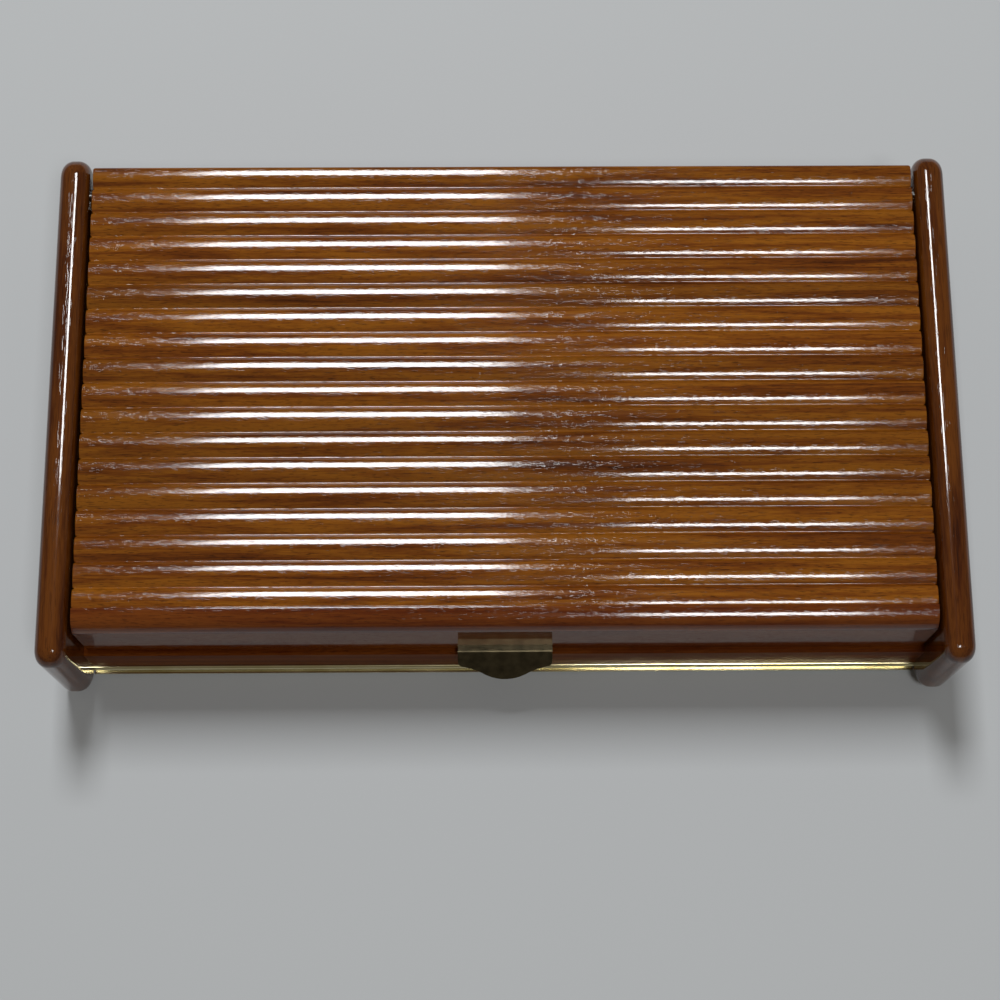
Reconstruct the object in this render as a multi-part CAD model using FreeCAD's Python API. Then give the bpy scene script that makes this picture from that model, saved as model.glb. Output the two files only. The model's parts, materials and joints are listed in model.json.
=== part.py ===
import FreeCAD, Part
import math
import os

# Tambour lid box: two rounded side panels carry a low case and a slatted lid that
# turns on hidden pins near the back. Millimetres, +X to the right, +Y to the back,
# +Z up. The origin is under the middle of the box, on the surface it stands on.

Vec = FreeCAD.Vector

# Overall size of the box
box_width = 280.0
box_depth = 164.0
box_height = 53.0

# Side panels
panel_thickness = 9.3
panel_front_radius = 5.5
panel_foot_radius = 10.0
panel_rear_radius = 7.0
panel_edge_round = 4.0

# Place of the lid between the panels
lid_side_gap = 1.2
lid_sink = 1.5
lip_setback = 10.5
lid_rear_setback = 3.6

# Slats, from the rear slat to the narrow one behind the lip
slat_count = 16
slat_thickness = 3.5
slat_crown_radius = 8.2
slat_crest = 3.3
slat_rear_round = 2.0
slat_joint = 0.12
slat_arris = 0.3
rear_slat_trim = 0.9
narrow_slat_depth = 6.3
rear_edge_round = 1.5
rear_corner_radius = 1.5
cloth_thickness = 0.4
cloth_inset = 0.8

# Frame of the lid under the slats
lip_thickness = 6.9
lip_crown_radius = 9.0
lip_crest = 0.4
lip_round = 5.3
lip_arris = 0.3
lip_end_round = 0.8
lip_rest_gap = 0.3
board_thickness = 3.0
board_tongue = 3.0
side_rail_width = 10.0
side_rail_height = 6.0
side_rail_rebate = 5.0

# Pivot of the lid
pivot_inset = 7.0
pivot_drop = 8.0
pivot_swell = 0.3
pin_diameter = 3.0
pin_running_gap = 0.05
pin_lid_depth = 12.0
pin_panel_depth = 6.5
pin_end_gap = 0.3
pin_chamfer = 0.4

# Case
case_lift = 1.5
rail_top = 22.0
rail_thickness = 9.0
rail_advance = 1.7
rail_arris = 0.8
wall_thickness = 8.0
wall_setback = 0.5
wall_swing_gap = 1.1
wall_arris = 0.6
bottom_thickness = 4.0
bottom_lift = 2.0
bottom_groove = 3.0
lining_thickness = 1.2
lining_gap = 0.3
dowel_diameter = 4.0
dowel_panel_depth = 6.0
dowel_case_depth = 12.0
dowel_below_top = 4.0
dowel_above_bottom = 4.0

# Metal strip along the foot of the front rail
bead_height = 3.6
bead_rebate = 1.0
bead_stand = 1.1
bead_groove = 0.4
bead_groove_drop = 0.4
bead_lip = 0.4
bead_lip_height = 1.0

# Lift tab on the lip
pull_width = 29.2
pull_sheet = 1.0
pull_above_edge = 4.0
pull_kerf_depth = 5.0
pull_flat = 1.6
pull_bend_radius = 1.4
pull_slope = 40.0
pull_side_length = 4.9
pull_tip_length = 9.2
pull_corner = 1.9
pull_tip_half = 7.0
pull_tip_rise = 2.1
pull_shoulder_sag = 0.25
brad_spacing = 18.0
brad_diameter = 1.4
brad_grip = 4.0

# Places that follow from the sizes above
inner_x = box_width / 2 - panel_thickness
lid_half = inner_x - lid_side_gap
front_y = -box_depth / 2
back_y = box_depth / 2
lip_face_y = front_y + lip_setback
lip_back_y = lip_face_y + lip_thickness
lid_rear_y = back_y - lid_rear_setback
crest_z = box_height - lid_sink
slat_base_z = crest_z - slat_thickness
board_top_z = slat_base_z - cloth_thickness
board_bottom_z = board_top_z - board_thickness
lip_bottom_z = rail_top + lip_rest_gap
pivot_y = lid_rear_y - pivot_inset
pivot_z = crest_z - pivot_drop
barrel_radius = pivot_inset + pivot_swell
rail_face_y = lip_face_y - rail_advance
rail_back_y = rail_face_y + rail_thickness
wall_outer_y = lid_rear_y - wall_setback
wall_inner_y = wall_outer_y - wall_thickness
wall_top_z = pivot_z - barrel_radius - wall_swing_gap
bottom_z = case_lift + bottom_lift
floor_z = bottom_z + bottom_thickness
slat_field = lid_rear_y - lip_back_y
slat_pitch = (slat_field + rear_slat_trim - narrow_slat_depth) / (slat_count + 1)
rear_slat_depth = slat_pitch - rear_slat_trim


def section(start, steps, x=0.0):
    """Face in the plane across X: a step is a point, or a pair of points of an arc."""
    edges = []
    here = Vec(x, *start)
    for step in steps:
        if isinstance(step[0], tuple):
            via = Vec(x, *step[0])
            there = Vec(x, *step[1])
            edges.append(Part.Arc(here, via, there).toShape())
        else:
            there = Vec(x, *step)
            edges.append(Part.LineSegment(here, there).toShape())
        here = there
    return Part.Face(Part.Wire(edges))


def crown_height(y, crest_y, crown_radius):
    """Height of a crowned top at y."""
    return crest_z - crown_radius + math.sqrt(crown_radius ** 2 - (y - crest_y) ** 2)


def crowned_section(flat_y, round_y, base_z, crest_y, crown_radius, edge_radius):
    """Section with a crowned top: a plain edge at flat_y, a rounded one at round_y."""
    side = 1 if round_y > flat_y else -1
    centre_z = crest_z - crown_radius
    small_y = round_y - side * edge_radius
    small_z = centre_z + math.sqrt((crown_radius - edge_radius) ** 2 - (small_y - crest_y) ** 2)

    def on_crown(y):
        return (y, crown_height(y, crest_y, crown_radius))

    meet = on_crown(crest_y + (small_y - crest_y) * crown_radius / (crown_radius - edge_radius))
    start_angle = math.atan2(meet[1] - small_z, side * (meet[0] - small_y))
    middle = (small_y + side * edge_radius * math.cos(start_angle / 2),
              small_z + edge_radius * math.sin(start_angle / 2))
    return section((flat_y, base_z), [
        on_crown(flat_y),
        (on_crown((flat_y + meet[0]) / 2), meet),
        (middle, (round_y, small_z)),
        (round_y, base_z),
        (flat_y, base_z),
    ])


def across(face, half_width):
    """Solid of a section made at x = 0, from -half_width to +half_width."""
    moved = face.copy()
    moved.translate(Vec(-half_width, 0, 0))
    return moved.extrude(Vec(2 * half_width, 0, 0))


def block(x0, x1, y0, y1, z0, z1):
    return Part.makeBox(x1 - x0, y1 - y0, z1 - z0, Vec(x0, y0, z0))


def rod(diameter, x0, x1, y, z):
    """Round bar along X."""
    return Part.makeCylinder(diameter / 2, x1 - x0, Vec(x0, y, z), Vec(1, 0, 0))


def long_edges_at(shape, places):
    """Edges along X whose (y, z) is one of the places."""
    found = []
    for edge in shape.Edges:
        box = edge.BoundBox
        along = box.YLength < 0.01 and box.ZLength < 0.01
        if along and any(math.hypot(box.YMin - y, box.ZMin - z) < 0.02 for y, z in places):
            found.append(edge)
    return found


def mirrored(shape):
    return shape.mirror(Vec(0, 0, 0), Vec(1, 0, 0))


# Case: the bottom panel first, because the grooves of its neighbours are cut with it

bottom_panel = block(
    -inner_x - bottom_groove, inner_x + bottom_groove,
    rail_back_y - bottom_groove, wall_inner_y + bottom_groove,
    bottom_z, floor_z)

floor_lining = block(
    -inner_x + lining_gap, inner_x - lining_gap,
    rail_back_y + lining_gap, wall_inner_y - lining_gap,
    floor_z, floor_z + lining_thickness)


def right_dowels():
    """One dowel for the front rail and two for the back wall, at the right."""
    low_z = floor_z + dowel_above_bottom
    places = (
        (rail_face_y + rail_thickness / 2, (floor_z + rail_top) / 2),
        (wall_outer_y - wall_thickness / 2, low_z),
        (wall_outer_y - wall_thickness / 2, wall_top_z - dowel_below_top),
    )
    start = inner_x - dowel_case_depth
    end = inner_x + dowel_panel_depth
    return [rod(dowel_diameter, start, end, y, z) for y, z in places]


dowels = right_dowels()
case_dowels = Part.makeCompound(dowels + [mirrored(dowel) for dowel in dowels])


def side_panel():
    """Right panel: rounded corners, and every outer edge rounded over."""
    r = panel_front_radius
    f = panel_foot_radius
    q = panel_rear_radius
    turn = 1 - math.sqrt(0.5)
    face = section((front_y + f, 0), [
        (back_y - q, 0),
        ((back_y - q * turn, q * turn), (back_y, q)),
        (back_y, box_height - q),
        ((back_y - q * turn, box_height - q * turn), (back_y - q, box_height)),
        (front_y + r, box_height),
        ((front_y + r * turn, box_height - r * turn), (front_y, box_height - r)),
        (front_y, f),
        ((front_y + f * turn, f * turn), (front_y + f, 0)),
    ], inner_x)
    panel = face.extrude(Vec(panel_thickness, 0, 0))
    rim = [edge for edge in panel.Edges if edge.BoundBox.XLength < 0.01]
    panel = panel.makeFillet(panel_edge_round, rim)
    bore = rod(pin_diameter + 2 * pin_running_gap, inner_x - 1,
               inner_x + pin_panel_depth + pin_end_gap, pivot_y, pivot_z)
    return panel.cut([bore, bottom_panel] + dowels)


right_side_panel = side_panel()
left_side_panel = mirrored(right_side_panel)


def bead_section(back_y_place):
    """Metal strip: a bead against the rail, a groove, and a thin lip in front of it."""
    bead_y = rail_face_y - bead_stand
    groove_y = bead_y - bead_groove
    front = groove_y - bead_lip
    lip_z = case_lift + bead_lip_height
    groove_z = lip_z - bead_groove_drop
    top_z = case_lift + bead_height
    round_z = top_z - bead_stand
    turn = math.sqrt(0.5)
    middle = (rail_face_y - bead_stand * turn, round_z + bead_stand * turn)
    return section((back_y_place, case_lift), [
        (front, case_lift),
        (front, lip_z),
        (groove_y, lip_z),
        (groove_y, groove_z),
        (bead_y, groove_z),
        (bead_y, round_z),
        (middle, (rail_face_y, top_z)),
        (back_y_place, top_z),
        (back_y_place, case_lift),
    ])


front_bead = across(bead_section(rail_face_y + bead_rebate), inner_x)


def make_front_rail():
    rail = block(-inner_x, inner_x, rail_face_y, rail_back_y, case_lift, rail_top)
    rail = rail.makeFillet(rail_arris, long_edges_at(
        rail, [(rail_face_y, rail_top), (rail_back_y, rail_top)]))
    rebate = block(-inner_x, inner_x, rail_face_y, rail_face_y + bead_rebate,
                   case_lift, case_lift + bead_height)
    return rail.cut([rebate, bottom_panel, case_dowels])


front_rail = make_front_rail()


def make_back_wall():
    wall = block(-inner_x, inner_x, wall_inner_y, wall_outer_y, case_lift, wall_top_z)
    wall = wall.makeFillet(wall_arris, long_edges_at(
        wall, [(wall_inner_y, wall_top_z), (wall_outer_y, wall_top_z)]))
    return wall.cut([bottom_panel, case_dowels])


back_wall = make_back_wall()


# Lid: lip rail, rear rail, side rails and board, then cloth and slats on top

rear_rail_front_y = lid_rear_y - 2 * pivot_inset
lid_board = block(
    -lid_half + side_rail_width - side_rail_rebate,
    lid_half - side_rail_width + side_rail_rebate,
    lip_back_y - board_tongue, rear_rail_front_y + board_tongue,
    board_bottom_z, board_top_z)


def pull_place():
    """Under side of the tab where it leaves the lip."""
    return lip_bottom_z + pull_above_edge


def pull_profile():
    """Bent sheet seen from the side: flange in the kerf, flat, bend and slope."""
    slope = math.radians(pull_slope)
    under = pull_place()
    over = under + pull_sheet
    bend_y = lip_face_y - pull_flat
    outer = pull_bend_radius
    inner = outer - pull_sheet
    centre_z = over - outer

    def on_bend(radius, angle):
        return (bend_y - radius * math.sin(angle), centre_z + radius * math.cos(angle))

    length = pull_tip_length
    along = (-math.cos(slope), -math.sin(slope))
    outer_end = on_bend(outer, slope)
    inner_end = on_bend(inner, slope)
    tip_over = (outer_end[0] + along[0] * length, outer_end[1] + along[1] * length)
    tip_under = (inner_end[0] + along[0] * length, inner_end[1] + along[1] * length)
    face = section((lip_face_y + pull_kerf_depth, under), [
        (lip_face_y + pull_kerf_depth, over),
        (bend_y, over),
        (on_bend(outer, slope / 2), outer_end),
        tip_over,
        tip_under,
        inner_end,
        (on_bend(inner, slope / 2), (bend_y, under)),
        (lip_face_y + pull_kerf_depth, under),
    ])
    return face, outer_end


def pull_outline(origin):
    """Outline of the tab, drawn on its slope: round corners, shoulders and a tip."""
    half = pull_width / 2
    back = -(pull_kerf_depth + pull_flat + 2 * pull_bend_radius)
    turn = 1 - math.sqrt(0.5)
    side = pull_side_length
    corner = pull_corner
    tip_half = pull_tip_half
    tip_side = pull_tip_length - pull_tip_rise
    shoulder_x = (half - corner + tip_half) / 2
    shoulder_s = (side + tip_side) / 2 - pull_shoulder_sag
    right = [
        (half, back),
        (half, side - corner),
        (half - corner * turn, side - corner * turn),
        (half - corner, side),
        (shoulder_x, shoulder_s),
        (tip_half, tip_side),
    ]

    slope = math.radians(pull_slope)

    def place(x, s):
        return Vec(x, origin[0] - s * math.cos(slope), origin[1] - s * math.sin(slope))

    r = [place(x, s) for x, s in right]
    l = [place(-x, s) for x, s in right]
    tip = place(0, pull_tip_length)
    edges = [
        Part.LineSegment(l[0], r[0]).toShape(),
        Part.LineSegment(r[0], r[1]).toShape(),
        Part.Arc(r[1], r[2], r[3]).toShape(),
        Part.Arc(r[3], r[4], r[5]).toShape(),
        Part.Arc(r[5], tip, l[5]).toShape(),
        Part.Arc(l[5], l[4], l[3]).toShape(),
        Part.Arc(l[3], l[2], l[1]).toShape(),
        Part.LineSegment(l[1], l[0]).toShape(),
    ]
    normal = Vec(0, -math.sin(slope), math.cos(slope))
    reach = pull_width
    face = Part.Face(Part.Wire(edges))
    face.translate(normal * -reach)
    return face.extrude(normal * (2 * reach))


def make_brad(x):
    """Headless brad from below, through the flange of the tab."""
    foot = Vec(x, lip_face_y + pull_kerf_depth / 2, lip_bottom_z)
    length = pull_above_edge + pull_sheet + brad_grip
    return Part.makeCylinder(brad_diameter / 2, length, foot, Vec(0, 0, 1))


brads = [make_brad(-brad_spacing / 2), make_brad(brad_spacing / 2)]
pull_brads = Part.makeCompound(brads)


def make_pull():
    face, bend_end = pull_profile()
    sheet = across(face, pull_width / 2)
    return sheet.common(pull_outline(bend_end)).cut(brads)


pull_tab = make_pull()


def make_lip_rail():
    """Front rail of the lid: crowned top, rounded front, deep face over the case."""
    crest_y = lip_back_y - lip_crest
    face = crowned_section(lip_back_y, lip_face_y, lip_bottom_z,
                           crest_y, lip_crown_radius, lip_round)
    rail = across(face, lid_half)
    back_z = crown_height(lip_back_y, crest_y, lip_crown_radius)
    rail = rail.makeFillet(lip_arris, long_edges_at(rail, [(lip_back_y, back_z)]))
    corners = []
    for edge in rail.Edges:
        box = edge.BoundBox
        if box.XLength < 0.01 and box.YLength < 0.01 and abs(box.YMin - lip_face_y) < 0.01:
            corners.append(edge)
    rail = rail.makeFillet(lip_end_round, corners)
    kerf = block(-pull_width / 2, pull_width / 2, lip_face_y - 1, lip_face_y + pull_kerf_depth,
                 pull_place(), pull_place() + pull_sheet)
    return rail.cut([kerf, lid_board] + brads)


lip_rail = make_lip_rail()


def make_rear_rail():
    """Rear rail of the lid: half round below, so that it turns clear of the wall."""
    fall = math.sqrt(barrel_radius ** 2 - pivot_inset ** 2)
    face = section((lid_rear_y, board_top_z), [
        (lid_rear_y, pivot_z - fall),
        ((pivot_y, pivot_z - barrel_radius), (rear_rail_front_y, pivot_z - fall)),
        (rear_rail_front_y, board_top_z),
        (lid_rear_y, board_top_z),
    ])
    rail = across(face, lid_half)
    return rail.cut([lid_board, make_pin(), mirrored(make_pin())])


def make_pin():
    """Right pivot pin: tight in the rear rail of the lid, free in the panel."""
    pin = rod(pin_diameter, lid_half - pin_lid_depth, inner_x + pin_panel_depth, pivot_y, pivot_z)
    ends = [edge for edge in pin.Edges if edge.BoundBox.XLength < 0.01]
    return pin.makeChamfer(pin_chamfer, ends)


right_pivot_pin = make_pin()
left_pivot_pin = mirrored(right_pivot_pin)
rear_rail = make_rear_rail()


def make_side_rail():
    rail = block(lid_half - side_rail_width, lid_half, lip_back_y, rear_rail_front_y,
                 board_top_z - side_rail_height, board_top_z)
    return rail.cut(lid_board)


right_lid_rail = make_side_rail()
left_lid_rail = mirrored(right_lid_rail)

slat_cloth = block(-lid_half + cloth_inset, lid_half - cloth_inset,
                   lip_back_y, lid_rear_y - cloth_inset, board_top_z, slat_base_z)


def make_slat(y_front, y_rear, crest_y, rear_round):
    """Slat with a crowned top that falls to the front and is rounded over at the rear."""
    slat = across(crowned_section(y_front, y_rear, slat_base_z, crest_y,
                                  slat_crown_radius, rear_round), lid_half)
    front_z = crown_height(y_front, crest_y, slat_crown_radius)
    return slat.makeFillet(slat_arris, long_edges_at(slat, [(y_front, front_z)]))


def rounded_plan(y_front, y_rear, radius):
    """Block as thick as a slat whose two rear corners are rounded in plan."""
    turn = radius * (1 - math.sqrt(0.5))
    z = slat_base_z
    half = lid_half
    right = [(half, y_front), (half, y_rear - radius), (half - turn, y_rear - turn),
             (half - radius, y_rear)]
    r = [Vec(x, y, z) for x, y in right]
    l = [Vec(-x, y, z) for x, y in right]
    edges = [
        Part.LineSegment(l[0], r[0]).toShape(),
        Part.LineSegment(r[0], r[1]).toShape(),
        Part.Arc(r[1], r[2], r[3]).toShape(),
        Part.LineSegment(r[3], l[3]).toShape(),
        Part.Arc(l[3], l[2], l[1]).toShape(),
        Part.LineSegment(l[1], l[0]).toShape(),
    ]
    return Part.Face(Part.Wire(edges)).extrude(Vec(0, 0, slat_thickness))


def make_rear_slat(y_front, y_rear):
    """Last slat: trimmed at the rear, where its free edge and both corners are rounded."""
    slat = make_slat(y_front, y_rear, y_front + slat_pitch - slat_crest, rear_edge_round)
    return slat.common(rounded_plan(y_front, y_rear, rear_corner_radius))


def make_slats():
    """Rear slat first, then the full slats, then the narrow one behind the lip."""
    made = [make_rear_slat(lid_rear_y - rear_slat_depth + slat_joint / 2, lid_rear_y)]
    rear = lid_rear_y - rear_slat_depth
    for _ in range(slat_count):
        y_rear = rear - slat_joint / 2
        made.append(make_slat(rear - slat_pitch + slat_joint / 2, y_rear,
                              y_rear - slat_crest, slat_rear_round))
        rear -= slat_pitch
    y_rear = rear - slat_joint / 2
    made.append(make_slat(lip_back_y + slat_joint, y_rear, y_rear - slat_crest, slat_rear_round))
    return made


nodes = {
    "left_side_panel": left_side_panel,
    "right_side_panel": right_side_panel,
    "front_rail": front_rail,
    "front_bead": front_bead,
    "back_wall": back_wall,
    "bottom_panel": bottom_panel,
    "floor_lining": floor_lining,
    "case_dowels": case_dowels,
    "lip_rail": lip_rail,
    "rear_rail": rear_rail,
    "left_lid_rail": left_lid_rail,
    "right_lid_rail": right_lid_rail,
    "lid_board": lid_board,
    "slat_cloth": slat_cloth,
    "left_pivot_pin": left_pivot_pin,
    "right_pivot_pin": right_pivot_pin,
    "pull_tab": pull_tab,
    "pull_brads": pull_brads,
}
for number, slat in enumerate(make_slats(), start=1):
    nodes[f"slat_{number:02d}"] = slat

os.makedirs("parts", exist_ok=True)
for name, shape in nodes.items():
    shape.exportStep(os.path.join("parts", name + ".step"))
    print(name, len(shape.Solids), round(shape.Volume, 1), shape.isValid())
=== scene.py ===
import json
import math
import bpy
from mathutils import Matrix, Vector


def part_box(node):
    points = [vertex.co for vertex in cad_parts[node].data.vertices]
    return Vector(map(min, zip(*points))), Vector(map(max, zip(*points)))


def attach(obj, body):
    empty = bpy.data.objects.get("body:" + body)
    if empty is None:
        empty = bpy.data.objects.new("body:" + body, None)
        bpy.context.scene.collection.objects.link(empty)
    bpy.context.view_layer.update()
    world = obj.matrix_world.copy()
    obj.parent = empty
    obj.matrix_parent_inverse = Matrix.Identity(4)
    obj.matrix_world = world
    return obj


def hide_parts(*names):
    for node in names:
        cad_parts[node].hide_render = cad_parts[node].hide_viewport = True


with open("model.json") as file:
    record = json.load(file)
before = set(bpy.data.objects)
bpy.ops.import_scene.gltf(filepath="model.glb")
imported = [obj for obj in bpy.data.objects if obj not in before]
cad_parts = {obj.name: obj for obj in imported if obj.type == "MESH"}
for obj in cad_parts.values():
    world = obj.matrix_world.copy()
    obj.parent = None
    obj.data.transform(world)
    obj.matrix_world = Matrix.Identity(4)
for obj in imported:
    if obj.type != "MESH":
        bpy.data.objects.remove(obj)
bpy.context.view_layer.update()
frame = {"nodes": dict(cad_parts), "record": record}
mm = 0.001
near = 0.01 * mm  # two places closer than this count as one
weldGap = 0.002 * mm  # vertices closer than this are merged
creaseAngle = 30  # degrees; bends of the wood sharper than this keep their edge

record = frame["record"]
slotOfNode = {part["node"]: part["material_slot"] for part in record["subparts"]}
bodyOfNode = {node: body for body, nodes in record["behaviour"]["bodies"].items() for node in nodes}


def showStage(text):
    print("stage:", text)


def isNear(a, b):
    return abs(a - b) < near


def frontOf(node):
    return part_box(node)[0][1]


def rearOf(node):
    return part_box(node)[1][1]


# The slats from the rear to the front, with their pitch and the place of one joint
slatNodes = sorted(node for node in frame["nodes"] if node.startswith("slat_") and node != "slat_cloth")
slatPitch = rearOf(slatNodes[1]) - rearOf(slatNodes[2])
slatJoint = (frontOf(slatNodes[1]) + rearOf(slatNodes[2])) / 2


# sRGB hex to linear RGBA
def toLinear(hexColour):
    channels = []
    for start in (0, 2, 4):
        value = int(hexColour[start:start + 2], 16) / 255
        channels.append(value / 12.92 if value <= 0.04045 else ((value + 0.055) / 1.055) ** 2.4)
    return (*channels, 1.0)


# Camera of the photograph, worked out from the box's edges: metres, degrees, pixels and sensor mm
cameraSettings = {
    "place": (-0.0058, -0.1995, 0.64785),
    "pitchDown": 74.296,
    "yaw": 1.488,
    "roll": 1.165,
    "focalPixels": 2049.0,
    "framePixels": 1000.0,
    "sensor": 36.0,
}


def makeCamera():
    s = cameraSettings
    pitch, yaw, roll = (math.radians(s[key]) for key in ("pitchDown", "yaw", "roll"))
    forward = Vector((math.sin(yaw) * math.cos(pitch), math.cos(yaw) * math.cos(pitch), -math.sin(pitch)))
    level = Vector((math.cos(yaw), -math.sin(yaw), 0))
    upright = level.cross(forward)
    right = level * math.cos(roll) + upright * math.sin(roll)
    up = upright * math.cos(roll) - level * math.sin(roll)
    data = bpy.data.cameras.new("photoCamera")
    data.sensor_width = s["sensor"]
    data.lens = s["focalPixels"] / s["framePixels"] * s["sensor"]
    cameraObject = bpy.data.objects.new("photoCamera", data)
    bpy.context.scene.collection.objects.link(cameraObject)
    turn = Matrix((right, up, -forward)).transposed().to_4x4()
    cameraObject.matrix_world = Matrix.Translation(Vector(s["place"])) @ turn
    bpy.context.scene.camera = cameraObject


# Two ceiling panels that look straight down, one behind the box and one in front of it, and a dim room.
# Their places and widths, in metres, come from where the highlights on the slats start and end.
lightSettings = {
    "leftLight": {"place": (-0.172, 0.87, 1.85), "size": (0.38, 0.76), "watts": 27.0},
    "rightLight": {"place": (0.317, -0.7, 1.85), "size": (0.28, 0.36), "watts": 8.5},
    "roomHex": "E4DACA",
    "roomStrength": 0.15,
}


def makeLights():
    for name in ("leftLight", "rightLight"):
        s = lightSettings[name]
        data = bpy.data.lights.new(name, "AREA")
        data.shape = "RECTANGLE"
        data.size, data.size_y = s["size"]
        data.energy = s["watts"]
        lamp = bpy.data.objects.new(name, data)
        bpy.context.scene.collection.objects.link(lamp)
        lamp.location = s["place"]
    world = bpy.data.worlds.new("room")
    world.use_nodes = True
    bpy.context.scene.world = world
    background = world.node_tree.nodes["Background"]
    background.inputs["Color"].default_value = toLinear(lightSettings["roomHex"])
    background.inputs["Strength"].default_value = lightSettings["roomStrength"]


# A node with its settings, and its sockets given as values or as outputs to link; i3 is socket 3
def addNode(tree, kind, settings=None, **links):
    node = tree.nodes.new(kind)
    for key, value in (settings or {}).items():
        setattr(node, key, value)
    for key, value in links.items():
        socket = node.inputs[int(key[1:])] if key[0] == "i" and key[1:].isdigit() else node.inputs[key]
        if isinstance(value, bpy.types.NodeSocket):
            tree.links.new(value, socket)
        else:
            socket.default_value = value
    return node


def newMaterial(name):
    material = bpy.data.materials.new(name)
    material.use_nodes = True
    tree = material.node_tree
    tree.nodes.clear()
    output = tree.nodes.new("ShaderNodeOutputMaterial")
    shader = tree.nodes.new("ShaderNodeBsdfPrincipled")
    tree.links.new(shader.outputs[0], output.inputs[0])
    return material, shader


# Colour stops as (place, hex colour); the first two use the ramp's own stops
def setRamp(node, stops):
    ramp = node.color_ramp
    while len(ramp.elements) < len(stops):
        ramp.elements.new(0.5)
    for element, (place, hexColour) in zip(ramp.elements, stops):
        element.position = place
        element.color = toLinear(hexColour)


# Open-pored hardwood, stained brown and sprayed with gloss lacquer that sinks into the pores
def lacqueredWood(name, s):
    material, shader = newMaterial(name)
    tree = material.node_tree
    place = addNode(tree, "ShaderNodeTexCoord").outputs["Object"]

    # Object coordinates with one unit per feature, drawn out along the grain
    def stretched(acrossMm, alongMm):
        scale = [1000 / acrossMm] * 3
        scale["XYZ".index(s["grain"])] = 1000 / alongMm
        return addNode(tree, "ShaderNodeMapping", i0=place, i3=scale).outputs[0]

    figure = addNode(tree, "ShaderNodeTexNoise", Vector=stretched(*s["figureMm"]),
                     Scale=1.0, Detail=3.0, Roughness=0.55, Distortion=0.6)
    fibre = addNode(tree, "ShaderNodeTexNoise", Vector=stretched(*s["fibreMm"]),
                    Scale=1.0, Detail=2.0, Roughness=0.6)
    tone = addNode(tree, "ShaderNodeMath", {"operation": "MULTIPLY_ADD"},
                   i0=fibre.outputs[0], i1=s["fibreShare"], i2=figure.outputs[0])
    woodRamp = addNode(tree, "ShaderNodeValToRGB", Fac=tone.outputs[0])
    setRamp(woodRamp, s["tones"])
    colour = woodRamp.outputs[0]
    if s["tonePerSlat"]:
        # Each slat is cut from another stick, so its tone steps at the joints, on whole numbers
        split = addNode(tree, "ShaderNodeSeparateXYZ", Vector=place)
        count = addNode(tree, "ShaderNodeMath", {"operation": "MULTIPLY_ADD"}, i0=split.outputs[1],
                        i1=1 / slatPitch, i2=(-slatJoint / slatPitch) % 1)
        stick = addNode(tree, "ShaderNodeMath", {"operation": "FLOOR"}, i0=count.outputs[0])
        pick = addNode(tree, "ShaderNodeTexWhiteNoise", {"noise_dimensions": "1D"}, W=stick.outputs[0])
        amount = addNode(tree, "ShaderNodeMapRange", i0=pick.outputs[0],
                         i3=s["stickTone"][0], i4=s["stickTone"][1])
        toned = addNode(tree, "ShaderNodeHueSaturation", Value=amount.outputs[0], Color=colour)
        colour = toned.outputs[0]

    # Pores darken the stain, and the lacquer sinks into them
    pore = addNode(tree, "ShaderNodeTexNoise", Vector=stretched(*s["poreMm"]),
                   Scale=1.0, Detail=1.0, Roughness=0.5)
    poreRamp = addNode(tree, "ShaderNodeValToRGB", Fac=pore.outputs[0])
    setRamp(poreRamp, [(s["poreFrom"], "000000"), (s["poreFrom"] + s["poreFade"], "FFFFFF")])
    poreMask = addNode(tree, "ShaderNodeMath", {"operation": "MULTIPLY"},
                       i0=poreRamp.outputs[0], i1=s["poreDepth"])
    dark = addNode(tree, "ShaderNodeMix", {"data_type": "RGBA", "blend_type": "MULTIPLY"},
                   i0=poreMask.outputs[0], i6=colour, i7=toLinear(s["poreHex"]))
    tree.links.new(dark.outputs[2], shader.inputs["Base Color"])

    # Long waves from the plane, orange peel from the spray gun, and the sunk pores
    wave = addNode(tree, "ShaderNodeTexNoise", Vector=stretched(*s["waveMm"]), Scale=1.0, Detail=1.0)
    waveBump = addNode(tree, "ShaderNodeBump", Strength=1.0, Distance=s["waveHeightMm"] * mm,
                       Height=wave.outputs[0])
    peel = addNode(tree, "ShaderNodeTexNoise", Vector=stretched(*s["peelMm"]),
                   Scale=1.0, Detail=2.0, Roughness=0.5)
    peelBump = addNode(tree, "ShaderNodeBump", Strength=1.0, Distance=s["peelHeightMm"] * mm,
                       Height=peel.outputs[0], Normal=waveBump.outputs[0])
    sunk = addNode(tree, "ShaderNodeMath", {"operation": "SUBTRACT"}, i0=1.0, i1=poreRamp.outputs[0])
    poreBump = addNode(tree, "ShaderNodeBump", Strength=1.0, Distance=s["poreHeightMm"] * mm,
                       Height=sunk.outputs[0], Normal=peelBump.outputs[0])
    tree.links.new(poreBump.outputs[0], shader.inputs["Normal"])
    shader.inputs["Roughness"].default_value = s["roughness"]
    shader.inputs["IOR"].default_value = s["ior"]
    return material


# Slats: warm brown under polished lacquer, with sharp highlights that the peel breaks up.
# Pairs of mm are across and along the grain.
slatWood = {
    "grain": "X",
    "figureMm": (3.2, 70.0),
    "fibreMm": (0.42, 7.0),
    "fibreShare": 0.45,
    "tones": [(0.45, "451D03"), (0.64, "6A3608"), (0.84, "875010")],
    "tonePerSlat": True,
    "stickTone": (0.84, 1.14),
    "poreMm": (0.3, 2.6),
    "poreFrom": 0.58,
    "poreFade": 0.09,
    "poreDepth": 0.5,
    "poreHex": "4A2208",
    "poreHeightMm": 0.008,
    "waveMm": (5.0, 18.0),
    "waveHeightMm": 0.02,
    "peelMm": (0.5, 1.3),
    "peelHeightMm": 0.008,
    "roughness": 0.07,
    "ior": 1.52,
}
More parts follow.
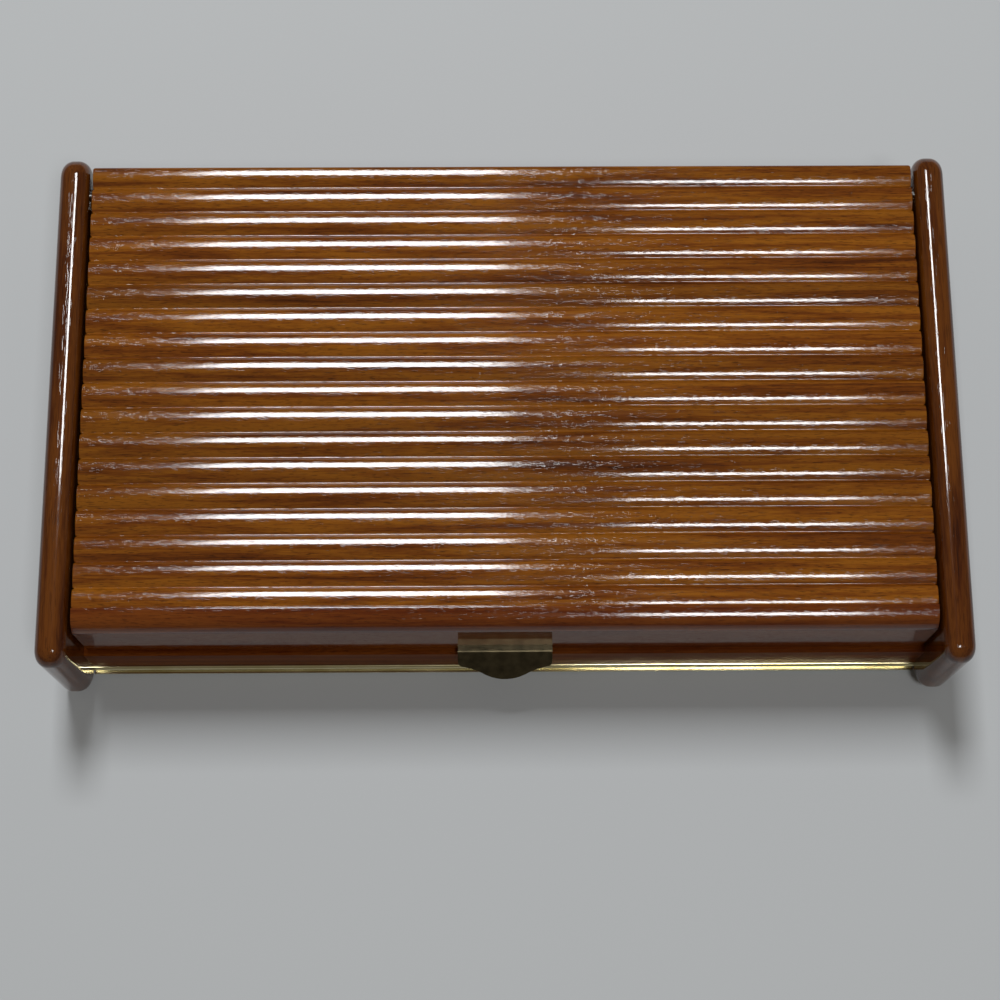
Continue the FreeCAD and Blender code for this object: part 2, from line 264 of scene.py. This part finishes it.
# Side panels: darker and redder, grain from front to back, with a smoother lacquer
panelWood = dict(slatWood, grain="Y", tonePerSlat=False, figureMm=(4.0, 80.0), poreDepth=0.35,
                 poreMm=(0.35, 6.0), peelHeightMm=0.004,
                 tones=[(0.42, "2E0F03"), (0.62, "482005"), (0.86, "63350D")])
# Lip and rails: the red-brown of the panels under the lacquer of the slats
railWood = dict(slatWood, tonePerSlat=False, poreDepth=0.4,
                tones=[(0.42, "421503"), (0.62, "582405"), (0.86, "70390E")])
# Front rail: the photo shows no mirror image of the brass in it, so its lacquer is thin and dull
frontRailWood = dict(railWood, roughness=0.36, ior=1.08)
# Hidden frame parts: sanded and left unstained, pale, with little gloss
insideWood = dict(slatWood, tonePerSlat=False, figureMm=(6.0, 90.0), roughness=0.38, waveHeightMm=0.004,
                  tones=[(0.42, "7A4A26"), (0.62, "93602F"), (0.86, "AD7A45")])
# Plywood: the wide figure of a peeled veneer
veneerSheet = dict(insideWood, figureMm=(9.0, 120.0),
                   tones=[(0.42, "62391B"), (0.62, "7C4D28"), (0.86, "94643A")])


# Metal strip drawn through a die, or sheet that was bent: fine lines along X and a thin tarnish
def drawnMetal(name, s):
    material, shader = newMaterial(name)
    tree = material.node_tree
    place = addNode(tree, "ShaderNodeTexCoord").outputs["Object"]
    acrossMm, alongMm = s["lineMm"]
    lines = addNode(tree, "ShaderNodeMapping", i0=place,
                    i3=(1000 / alongMm, 1000 / acrossMm, 1000 / acrossMm))
    streak = addNode(tree, "ShaderNodeTexNoise", Vector=lines.outputs[0], Scale=1.0, Detail=2.0)
    cloud = addNode(tree, "ShaderNodeTexNoise", Vector=place, Scale=1000 / s["cloudMm"], Detail=4.0)
    ramp = addNode(tree, "ShaderNodeValToRGB", Fac=cloud.outputs[0])
    setRamp(ramp, s["tones"])
    tree.links.new(ramp.outputs[0], shader.inputs["Base Color"])
    rough = addNode(tree, "ShaderNodeMapRange", i0=cloud.outputs[0],
                    i3=s["roughness"][0], i4=s["roughness"][1])
    tree.links.new(rough.outputs[0], shader.inputs["Roughness"])
    bump = addNode(tree, "ShaderNodeBump", Strength=1.0, Distance=s["lineHeightMm"] * mm,
                   Height=streak.outputs[0])
    tree.links.new(bump.outputs[0], shader.inputs["Normal"])
    shader.inputs["Metallic"].default_value = 1.0
    return material


# Polished brass: a pale yellow mirror, a little soft
brassStrip = {
    "lineMm": (0.25, 60.0),
    "lineHeightMm": 0.0004,
    "cloudMm": 12.0,
    "tones": [(0.3, "DCD09A"), (0.7, "F0E7BE")],
    "roughness": (0.1, 0.18),
}
# Darkened bronze that hands have rubbed: wide dim highlights and a cloudy patina
bronzeTab = {
    "lineMm": (0.3, 5.0),
    "lineHeightMm": 0.002,
    "cloudMm": 3.0,
    "tones": [(0.3, "4B4434"), (0.7, "6A614A")],
    "roughness": (0.28, 0.34),
}
# Drawn steel: grey, with faint lines along it
steelPin = {
    "lineMm": (0.2, 6.0),
    "lineHeightMm": 0.003,
    "cloudMm": 4.0,
    "tones": [(0.3, "8C8C8A"), (0.7, "A8A8A4")],
    "roughness": (0.25, 0.35),
}


# Fine fibres pressed flat: the wool felt, and the cotton backing that is glued under the slats
def pressedFibres(name, s):
    material, shader = newMaterial(name)
    tree = material.node_tree
    place = addNode(tree, "ShaderNodeTexCoord").outputs["Object"]
    fluff = addNode(tree, "ShaderNodeTexNoise", Vector=place, Scale=1000 / s["fibreMm"],
                    Detail=5.0, Roughness=0.7)
    patch = addNode(tree, "ShaderNodeTexNoise", Vector=place, Scale=1000 / s["patchMm"], Detail=2.0)
    mixed = addNode(tree, "ShaderNodeMath", {"operation": "MULTIPLY_ADD"},
                    i0=fluff.outputs[0], i1=s["fibreShare"], i2=patch.outputs[0])
    ramp = addNode(tree, "ShaderNodeValToRGB", Fac=mixed.outputs[0])
    setRamp(ramp, s["tones"])
    tree.links.new(ramp.outputs[0], shader.inputs["Base Color"])
    bump = addNode(tree, "ShaderNodeBump", Strength=1.0, Distance=s["heightMm"] * mm,
                   Height=fluff.outputs[0])
    tree.links.new(bump.outputs[0], shader.inputs["Normal"])
    shader.inputs["Roughness"].default_value = s["roughness"]
    shader.inputs["Sheen Weight"].default_value = s["sheen"]
    return material


# Dark green wool felt: no gloss, a faint sheen on the fibres
feltLining = {
    "fibreMm": 0.5,
    "patchMm": 30.0,
    "fibreShare": 0.6,
    "heightMm": 0.12,
    "tones": [(0.5, "26301F"), (1.0, "3C4A31")],
    "roughness": 0.95,
    "sheen": 0.3,
}
# Cotton soaked with glue: brown, finer and flatter than the felt
slatBacking = dict(feltLining, fibreMm=0.4, patchMm=20.0, heightMm=0.08,
                   tones=[(0.5, "2A1B10"), (1.0, "3D2818")])

materials = {
    "lacquered_slat_wood": lacqueredWood("lacqueredSlatWood", slatWood),
    "lacquered_panel_wood": lacqueredWood("lacqueredPanelWood", panelWood),
    "lacquered_rail_wood": lacqueredWood("lacqueredRailWood", railWood),
    "plain_wood": lacqueredWood("sandedHardwood", insideWood),
    "plywood": lacqueredWood("stainedPlywood", veneerSheet),
    "felt": pressedFibres("woolFelt", feltLining),
    "cotton_cloth": pressedFibres("cottonBacking", slatBacking),
    "polished_brass": drawnMetal("drawnBrass", brassStrip),
    "dark_bronze": drawnMetal("darkBronze", bronzeTab),
    "steel_pin": drawnMetal("drawnSteel", steelPin),
}
materialOfNode = {node: materials[slot] for node, slot in slotOfNode.items()}
materialOfNode["front_rail"] = lacqueredWood("thinlyLacqueredRailWood", frontRailWood)


def dress(piece, node):
    piece.data.materials.clear()
    piece.data.materials.append(materialOfNode[node])


def dressNodes():
    for name, node in frame["nodes"].items():
        dress(node, name)


# Gives a new piece the finish, the body and the slot of a CAD node, which it replaces or goes with
def finishPiece(piece, node, replaces=True):
    dress(piece, node)
    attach(piece, bodyOfNode[node])
    if replaces:
        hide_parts(node)


def deselectAll():
    bpy.ops.object.select_all(action="DESELECT")


def pickOnly(piece):
    deselectAll()
    piece.select_set(True)
    bpy.context.view_layer.objects.active = piece


def applyModifier(piece, kind, **settings):
    pickOnly(piece)
    modifier = piece.modifiers.new(kind.lower(), kind)
    for key, value in settings.items():
        setattr(modifier, key, value)
    bpy.ops.object.modifier_apply(modifier=modifier.name)


def applyPlace(piece):
    pickOnly(piece)
    bpy.ops.object.transform_apply(location=True, rotation=True, scale=True)


# Smooth shading weighted by the faces' areas, so that a long face keeps its own direction up to its
# eased ends and highlights run along it evenly
def smooth(piece, angle=creaseAngle):
    pickOnly(piece)
    bpy.ops.object.shade_smooth_by_angle(angle=math.radians(angle))
    applyModifier(piece, "WEIGHTED_NORMAL", weight=70, keep_sharp=True)


# Selects the edges whose two ends pass the test, and leaves the piece in edit mode
def pickEdges(piece, test):
    pickOnly(piece)
    bpy.ops.object.mode_set(mode="EDIT")
    bpy.ops.mesh.select_mode(type="EDGE")
    bpy.ops.mesh.select_all(action="DESELECT")
    bpy.ops.object.mode_set(mode="OBJECT")
    mesh = piece.data
    for edge in mesh.edges:
        a, b = (mesh.vertices[i].co for i in edge.vertices)
        edge.select = test(a, b)
    bpy.ops.object.mode_set(mode="EDIT")


def bevelEdges(piece, test, width, segments):
    pickEdges(piece, test)
    bpy.ops.mesh.bevel(offset=width, segments=segments, affect="EDGES", clamp_overlap=True)
    bpy.ops.object.mode_set(mode="OBJECT")


def runsAlong(a, b, axis):
    return all(isNear(a[i], b[i]) for i in range(3) if i != "XYZ".index(axis))


# A block between two corners, with its place in its mesh
def addBlock(name, low, high):
    deselectAll()
    low, high = Vector(low), Vector(high)
    bpy.ops.mesh.primitive_cube_add(size=1, location=(low + high) / 2)
    block = bpy.context.object
    block.name = name
    block.scale = high - low
    applyPlace(block)
    return block


# A rod along X
def addRod(name, radius, length, middle, sides):
    deselectAll()
    bpy.ops.mesh.primitive_cylinder_add(vertices=sides, radius=radius, depth=length, location=middle,
                                        rotation=(0, math.pi / 2, 0))
    rod = bpy.context.object
    rod.name = name
    applyPlace(rod)
    return rod


def cutWith(piece, cutter, operation="DIFFERENCE"):
    applyModifier(piece, "BOOLEAN", operation=operation, solver="EXACT", object=cutter)
    bpy.data.objects.remove(cutter)


# A copy of a CAD node's mesh with its loose triangles merged
def mergedCopy(node, name):
    copy = bpy.data.objects.new(name, frame["nodes"][node].data.copy())
    bpy.context.scene.collection.objects.link(copy)
    pickOnly(copy)
    bpy.ops.object.mode_set(mode="EDIT")
    bpy.ops.mesh.select_all(action="SELECT")
    bpy.ops.mesh.remove_doubles(threshold=weldGap)
    bpy.ops.mesh.tris_convert_to_quads()
    bpy.ops.object.mode_set(mode="OBJECT")
    return copy


# A bar along X: its front face goes up from startZ to topZ, spins over the top by arcs given as
# (centre y, centre z, turn, steps), goes down to startZ and back along the bottom
def sweepBar(name, halfWidth, startY, startZ, topZ, arcs, endY):
    deselectAll()
    bpy.ops.mesh.primitive_plane_add(size=1, location=(0, startY, (startZ + topZ) / 2),
                                     rotation=(math.pi / 2, 0, 0))
    bar = bpy.context.object
    bar.name = name
    bar.scale = (2 * halfWidth, topZ - startZ, 1)
    applyPlace(bar)
    pickEdges(bar, lambda a, b: min(a[2], b[2]) > topZ - near)
    for centreY, centreZ, turn, steps in arcs:
        bpy.ops.mesh.spin(steps=steps, angle=turn, center=(0, centreY, centreZ), axis=(1, 0, 0))
    bpy.ops.object.mode_set(mode="OBJECT")
    last = max(v.co.z for v in bar.data.vertices if v.select)
    bpy.ops.object.mode_set(mode="EDIT")
    if last - startZ > near:
        bpy.ops.mesh.extrude_region_move(TRANSFORM_OT_translate={"value": (0, 0, startZ - last)})
    bpy.ops.mesh.extrude_region_move(TRANSFORM_OT_translate={"value": (0, startY - endY, 0)})
    bpy.ops.mesh.select_all(action="SELECT")
    bpy.ops.mesh.remove_doubles(threshold=weldGap)
    bpy.ops.mesh.fill_holes(sides=0)
    bpy.ops.mesh.select_all(action="SELECT")
    bpy.ops.mesh.normals_make_consistent(inside=False)
    bpy.ops.object.mode_set(mode="OBJECT")
    return bar


# Centre of the round that joins a crown to an upright face, inside the crown's own circle;
# side is -1 at a front face and 1 at a rear face
def roundCentre(faceY, side, roundRadius, crownCentre, crownRadius):
    y = faceY - side * roundRadius
    reach = crownRadius - roundRadius
    z = crownCentre[1] + math.sqrt(reach ** 2 - (y - crownCentre[0]) ** 2)
    return y, z


def turnOf(centre, point):
    return math.atan2(point[1] - centre[1], point[0] - centre[0])


# A crowned bar that fills a box: front round, crown, rear round
def crownedBar(name, low, high, crestY, crownRadius, frontRound, rearRound, steps):
    crown = (crestY, high[2] - crownRadius)
    front = roundCentre(low[1], -1, frontRound, crown, crownRadius)
    rear = roundCentre(high[1], 1, rearRound, crown, crownRadius)
    frontTurn, rearTurn = turnOf(crown, front), turnOf(crown, rear)
    arcs = [
        (*front, math.pi - frontTurn, steps[0]),
        (*crown, frontTurn - rearTurn, steps[1]),
        (*rear, rearTurn, steps[2]),
    ]
    return sweepBar(name, (high[0] - low[0]) / 2, low[1], low[2], front[1], arcs, high[1])


# Side panels: a block with round corners in side view, then its whole rim rounded over; sizes in mm
panelSettings = {
    "topFrontRadius": 5.5,
    "footFrontRadius": 10.0,
    "rearRadius": 7.0,
    "cornerSegments": 16,
    "edgeRound": 4.0,
    "edgeSegments": 12,
    "pinPlay": 0.05,
    "boreEnd": 0.3,
    "boreSides": 48,
}


def makePanel(side):
    s = panelSettings
    node = side + "_side_panel"
    low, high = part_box(node)
    panel = addBlock(side + "Panel", low, high)
    corners = (
        (low[1], high[2], s["topFrontRadius"]),
        (low[1], low[2], s["footFrontRadius"]),
        (high[1], high[2], s["rearRadius"]),
        (high[1], low[2], s["rearRadius"]),
    )
    for y, z, radius in corners:
        bevelEdges(panel, lambda a, b: runsAlong(a, b, "X") and isNear(a[1], y) and isNear(a[2], z),
                   radius * mm, s["cornerSegments"])
    for x in (low[0], high[0]):
        bevelEdges(panel, lambda a, b: isNear(a[0], x) and isNear(b[0], x),
                   s["edgeRound"] * mm, s["edgeSegments"])

    # Room for the pivot pin, the bottom panel and the dowels
    pinLow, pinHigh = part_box(side + "_pivot_pin")
    boreRadius = (pinHigh[2] - pinLow[2]) / 2 + s["pinPlay"] * mm
    boreLength = pinHigh[0] - pinLow[0] + 2 * s["boreEnd"] * mm
    cutWith(panel, addRod("bore", boreRadius, boreLength, (pinLow + pinHigh) / 2, s["boreSides"]))
    cutWith(panel, mergedCopy("bottom_panel", "groove"))
    cutWith(panel, mergedCopy("case_dowels", "dowelHoles"))
    smooth(panel)
    finishPiece(panel, node)


# Slats: crowned strips that fall to the front and are rounded over at the rear. Sizes are in mm, and
# the steps are those of the front arris, the crown and the rear round.
slatSettings = {
    "crown": 8.2,
    "crest": 3.3,
    "arris": 0.3,
    "rearRound": 2.0,
    "steps": (4, 28, 14),
    "endRound": 0.25,
    "endSegments": 3,
    "freeEdgeRound": 1.5,
    "freeCorner": 1.5,
    "cornerSegments": 8,
}


# Where a slat's crest runs: the rear slat is trimmed, so there the full pitch is counted from the front
def crestOf(node):
    low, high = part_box(node)
    rear = low[1] + slatPitch if node == slatNodes[0] else high[1]
    return rear - slatSettings["crest"] * mm


def makeSlat(name, node, rearRound):
    s = slatSettings
    low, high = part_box(node)
    slat = crownedBar(name, low, high, crestOf(node), s["crown"] * mm, s["arris"] * mm,
                      rearRound * mm, s["steps"])

    def atEnd(a, b):
        return (isNear(a[0], b[0]) and max(a[2], b[2]) > low[2] + near
                and (isNear(a[0], low[0]) or isNear(a[0], high[0])))

    bevelEdges(slat, atEnd, s["endRound"] * mm, s["endSegments"])
    smooth(slat)
    return slat


# The rear slat has a free edge with round corners in plan
def makeRearSlat():
    s = slatSettings
    node = slatNodes[0]
    low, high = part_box(node)
    slat = makeSlat("slat01", node, s["freeEdgeRound"])
    plan = addBlock("plan", low - Vector((0, mm, mm)), high + Vector((0, 0, mm)))
    bevelEdges(plan, lambda a, b: runsAlong(a, b, "Z") and isNear(a[1], high[1]),
               s["freeCorner"] * mm, s["cornerSegments"])
    cutWith(slat, plan, "INTERSECT")
    smooth(slat)
    finishPiece(slat, node)


# The full slats are copies of one model, and the narrow one by the lip is made by itself
def makeSlats():
    s = slatSettings
    makeRearSlat()
    model = makeSlat("slatModel", slatNodes[1], s["rearRound"])
    for node in slatNodes[1:-1]:
        mesh = model.data.copy()
        mesh.transform(Matrix.Translation((0, rearOf(node) - rearOf(slatNodes[1]), 0)))
        slat = bpy.data.objects.new(node.replace("_", ""), mesh)
        bpy.context.scene.collection.objects.link(slat)
        finishPiece(slat, node)
    bpy.data.objects.remove(model)
    node = slatNodes[-1]
    finishPiece(makeSlat(node.replace("_", ""), node, s["rearRound"]), node)


# Lip rail: a crown that turns down into the deep face, with room for the board, the brads and the tab.
# Sizes are in mm, and the steps are those of the front round, the crown and the rear arris.
lipSettings = {
    "crown": 9.0,
    "crest": 0.4,
    "frontRound": 5.3,
    "arris": 0.3,
    "steps": (26, 12, 4),
    "endRound": 0.8,
    "endSegments": 5,
    "tabSheet": 1.0,
}


def makeLip():
    s = lipSettings
    low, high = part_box("lip_rail")
    crestY = high[1] - s["crest"] * mm
    lip = crownedBar("lipRail", low, high, crestY, s["crown"] * mm, s["frontRound"] * mm,
                     s["arris"] * mm, s["steps"])

    def atFrontEnd(a, b):
        return (isNear(a[0], b[0]) and max(a[2], b[2]) > low[2] + near
                and max(a[1], b[1]) < crestY - s["endRound"] * mm
                and (isNear(a[0], low[0]) or isNear(a[0], high[0])))

    bevelEdges(lip, atFrontEnd, s["endRound"] * mm, s["endSegments"])
    cutWith(lip, mergedCopy("lid_board", "boardGroove"))
    cutWith(lip, mergedCopy("pull_brads", "bradHoles"))
    tabLow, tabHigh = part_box("pull_tab")
    underTab = tabHigh[2] - s["tabSheet"] * mm
    cutWith(lip, addBlock("kerf", (tabLow[0], low[1] - mm, underTab), tabHigh))
    smooth(lip)
    finishPiece(lip, "lip_rail")


# Lacquer that ran into each joint and dried as a thin hollow fillet between two crowns. Sizes are in
# mm, and the steps are those of the crown behind, the hollow and the round in front.
filletSettings = {
    "radius": 0.55,
    "lipRadius": 0.25,
    "depth": 0.3,
    "inset": 0.5,
    "steps": (3, 10, 5),
}


# Behind the joint is a slat's crown that ends at frontY, and ahead of it the round of the next piece;
# both are circles given as (centre y, centre z, radius), and the hollow touches them from above
def makeJointFillet(name, halfWidth, behind, frontY, ahead, radius):
    s = filletSettings
    y1, z1, radius1 = behind
    y2, z2, radius2 = ahead
    apart = math.hypot(y2 - y1, z2 - z1)
    towards = ((y2 - y1) / apart, (z2 - z1) / apart)
    along = ((radius1 + radius) ** 2 - (radius2 + radius) ** 2 + apart ** 2) / (2 * apart)
    # The sign puts the hollow's centre above the line from one circle's centre to the other's
    upwards = math.copysign(math.sqrt((radius1 + radius) ** 2 - along ** 2), towards[0])
    hollow = (y1 + along * towards[0] - upwards * towards[1],
              z1 + along * towards[1] + upwards * towards[0])
    edgeZ = z1 + math.sqrt(radius1 ** 2 - (frontY - y1) ** 2)
    touch1, touch2 = turnOf((y1, z1), hollow), turnOf((y2, z2), hollow)
    arcs = [
        (y1, z1, turnOf((y1, z1), (frontY, edgeZ)) - touch1, s["steps"][0]),
        (*hollow, touch1 - touch2, s["steps"][1]),
        (y2, z2, touch2, s["steps"][2]),
    ]
    startZ = min(z2, edgeZ) - s["depth"] * mm
    fillet = sweepBar(name, halfWidth, frontY, startZ, edgeZ, arcs, y2 + radius2)
    smooth(fillet)
    return fillet


def makeJoints():
    s, lip = filletSettings, lipSettings
    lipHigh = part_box("lip_rail")[1]
    halfWidth = lipHigh[0] - s["inset"] * mm
    crownRadius, rearRound = slatSettings["crown"] * mm, slatSettings["rearRound"] * mm

    def crownCircle(node):
        return crestOf(node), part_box(node)[1][2] - crownRadius, crownRadius

    def rearCircle(node):
        return (*roundCentre(rearOf(node), 1, rearRound, crownCircle(node), crownRadius), rearRound)

    for number, (back, front) in enumerate(zip(slatNodes, slatNodes[1:]), start=1):
        fillet = makeJointFillet(f"jointLacquer{number:02d}", halfWidth, crownCircle(back),
                                 frontOf(back), rearCircle(front), s["radius"] * mm)
        finishPiece(fillet, back, replaces=False)

    lipCrown = (lipHigh[1] - lip["crest"] * mm, lipHigh[2] - lip["crown"] * mm)
    arris = lip["arris"] * mm
    lipCircle = (*roundCentre(lipHigh[1], 1, arris, lipCrown, lip["crown"] * mm), arris)
    back = slatNodes[-1]
    fillet = makeJointFillet("jointLacquerLip", halfWidth, crownCircle(back), frontOf(back),
                             lipCircle, s["lipRadius"] * mm)
    finishPiece(fillet, back, replaces=False)


# Pieces whose CAD shape is right: a merged copy, with the width in mm by which its sharp edges are eased
easedPieces = {
    "front_rail": {"name": "frontRail", "ease": 0.12},
    "front_bead": {"name": "brassStrip", "ease": 0.05},
    "back_wall": {"name": "backWall", "ease": 0.3},
    "rear_rail": {"name": "rearRail", "ease": 0.3},
    "left_lid_rail": {"name": "leftLidRail", "ease": 0.4},
    "right_lid_rail": {"name": "rightLidRail", "ease": 0.4},
    "pull_tab": {"name": "liftTab", "ease": 0.12},
    "left_pivot_pin": {"name": "leftPivotPin", "ease": 0.1},
    "right_pivot_pin": {"name": "rightPivotPin", "ease": 0.1},
}
easeSettings = {"segments": 2, "sharpAngle": 50, "creaseAngle": 35}


def makeEased(node):
    s = easeSettings
    piece = mergedCopy(node, easedPieces[node]["name"])
    applyModifier(piece, "BEVEL", width=easedPieces[node]["ease"] * mm, segments=s["segments"],
                  limit_method="ANGLE", angle_limit=math.radians(s["sharpAngle"]), use_clamp_overlap=True)
    smooth(piece, s["creaseAngle"])
    finishPiece(piece, node)


# Felt on the floor of the box and cotton under the slats: sheets glued flat, with soft cut edges
sheetPieces = {
    "floor_lining": {"name": "feltLining", "soften": 0.5, "rests": "bottom_panel", "cells": (64, 32)},
    "slat_cloth": {"name": "slatBacking", "soften": 0.12, "rests": "lid_board", "cells": (64, 38)},
}
rimSettings = {"segments": 3, "creaseAngle": 60}


def makeSheet(node):
    s = sheetPieces[node]
    low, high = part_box(node)
    width, length = high[0] - low[0], high[1] - low[1]
    middle = (low + high) / 2
    deselectAll()
    bpy.ops.mesh.primitive_grid_add(x_subdivisions=s["cells"][0], y_subdivisions=s["cells"][1], size=1,
                                    location=(middle[0], middle[1], high[2]))
    sheet = bpy.context.object
    sheet.name = s["name"]
    sheet.scale = (width, length, 1)
    applyPlace(sheet)
    applyModifier(sheet, "SOLIDIFY", thickness=high[2] - low[2], offset=-1.0)

    def onRim(point):
        return any(isNear(point[i], side[i]) for side in (low, high) for i in (0, 1))

    bevelEdges(sheet, lambda a, b: onRim(a) and onRim(b) and min(a[2], b[2]) > high[2] - near,
               s["soften"] * mm, rimSettings["segments"])
    smooth(sheet, rimSettings["creaseAngle"])
    finishPiece(sheet, node)


# Pale painted floor, wide enough to fill the view
floorSettings = {
    "size": 6.0,
    "hex": "BDC1C4",
    "roughness": 0.7,
}


def makeFloor():
    s = floorSettings
    deselectAll()
    bpy.ops.mesh.primitive_plane_add(size=s["size"], location=(0, 0, 0))
    floor = bpy.context.object
    floor.name = "paleFloor"
    material, shader = newMaterial("paleFloorPaint")
    shader.inputs["Base Color"].default_value = toLinear(s["hex"])
    shader.inputs["Roughness"].default_value = s["roughness"]
    floor.data.materials.append(material)


makeCamera()
makeLights()
showStage("camera and lights")
dressNodes()
makePanel("left")
makePanel("right")
showStage("side panels")
makeSlats()
showStage("slats")
makeJoints()
showStage("lacquer in the joints")
makeLip()
for easedNode in easedPieces:
    makeEased(easedNode)
showStage("lip, rails and metal")
for sheetNode in sheetPieces:
    makeSheet(sheetNode)
showStage("felt and cloth")
makeFloor()
bpy.context.scene.view_settings.view_transform = "Standard"
